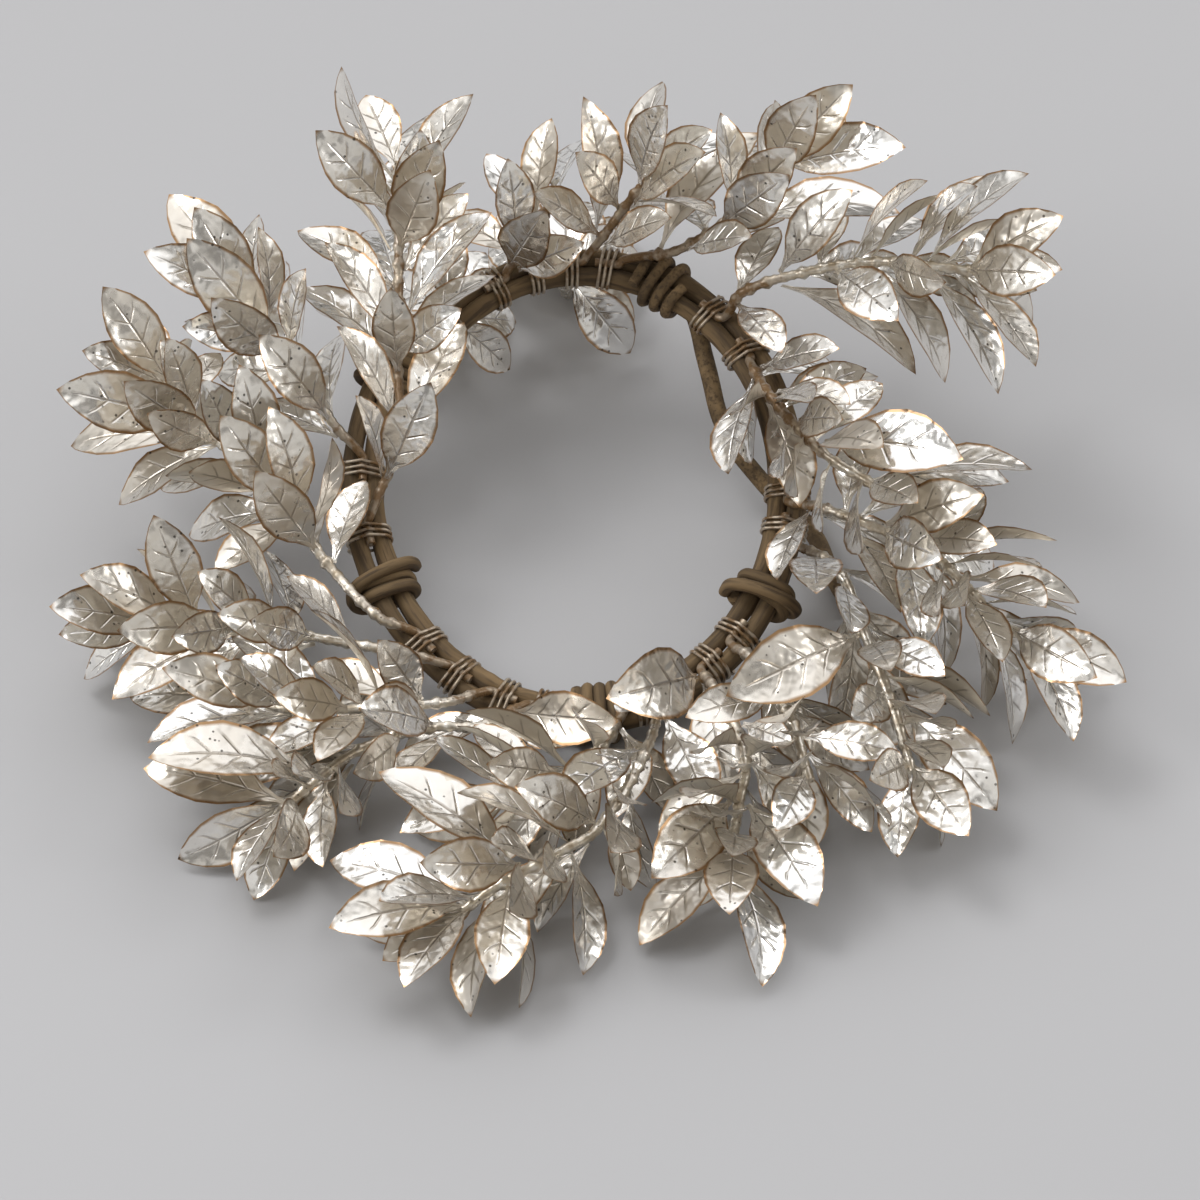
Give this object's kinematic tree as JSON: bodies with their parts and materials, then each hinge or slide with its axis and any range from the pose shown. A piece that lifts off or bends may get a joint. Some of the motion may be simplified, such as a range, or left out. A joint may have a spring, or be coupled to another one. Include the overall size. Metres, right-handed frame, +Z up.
{
  "type": "candle ring",
  "caption": "Leaning vine ring dressed all round with wired sprays of silver leaves, which lies on a table round the foot of a pillar candle.",
  "frame": {"origin": "middle of the candle's place, on the table", "axes": "+Z up, +Y from the front of the ring, which lies on the table, to its raised back, +X to the right for a viewer in front"},
  "size_m": [0.3072, 0.3326, 0.115],
  "materials": {
    "silver_leaf": "metallised champagne silver, gloss",
    "silver_stem": "metallised champagne silver, satin",
    "vine": "bare dry bark, matte",
    "wire": "satin"
  },
  "bodies": {
    "root": {"binding_wires": "wire", "core_wires": "wire", "end_knot": "vine", "front_centre_leaves": "silver_leaf", "front_centre_stem": "silver_stem", "front_drooping_leaves": "silver_leaf", "front_drooping_stem": "silver_stem", "front_knot": "vine", "front_leaves": "silver_leaf", "front_left_inner_leaves": "silver_leaf", "front_left_inner_stem": "silver_stem", "front_left_leaves": "silver_leaf", "front_left_stem": "silver_stem", "front_right_inner_leaves": "silver_leaf", "front_right_inner_stem": "silver_stem", "front_right_leaves": "silver_leaf", "front_right_stem": "silver_stem", "front_stem": "silver_stem", "leaf_collars": "silver_stem", "left_knot": "vine", "left_lower_leaves": "silver_leaf", "left_lower_stem": "silver_stem", "left_rear_leaves": "silver_leaf", "left_rear_stem": "silver_stem", "left_upper_leaves": "silver_leaf", "left_upper_stem": "silver_stem", "rear_knot": "vine", "rear_leaves": "silver_leaf", "rear_left_leaves": "silver_leaf", "rear_left_low_leaves": "silver_leaf", "rear_left_low_stem": "silver_stem", "rear_left_stem": "silver_stem", "rear_left_tall_leaves": "silver_leaf", "rear_left_tall_stem": "silver_stem", "rear_low_leaves": "silver_leaf", "rear_low_stem": "silver_stem", "rear_right_leaves": "silver_leaf", "rear_right_stem": "silver_stem", "rear_right_tall_leaves": "silver_leaf", "rear_right_tall_stem": "silver_stem", "rear_stem": "silver_stem", "right_knot": "vine", "right_leaves": "silver_leaf", "right_rear_leaves": "silver_leaf", "right_rear_stem": "silver_stem", "right_stem": "silver_stem", "vine_coil": "vine", "vine_spur": "vine"}
  },
  "joints": []
}
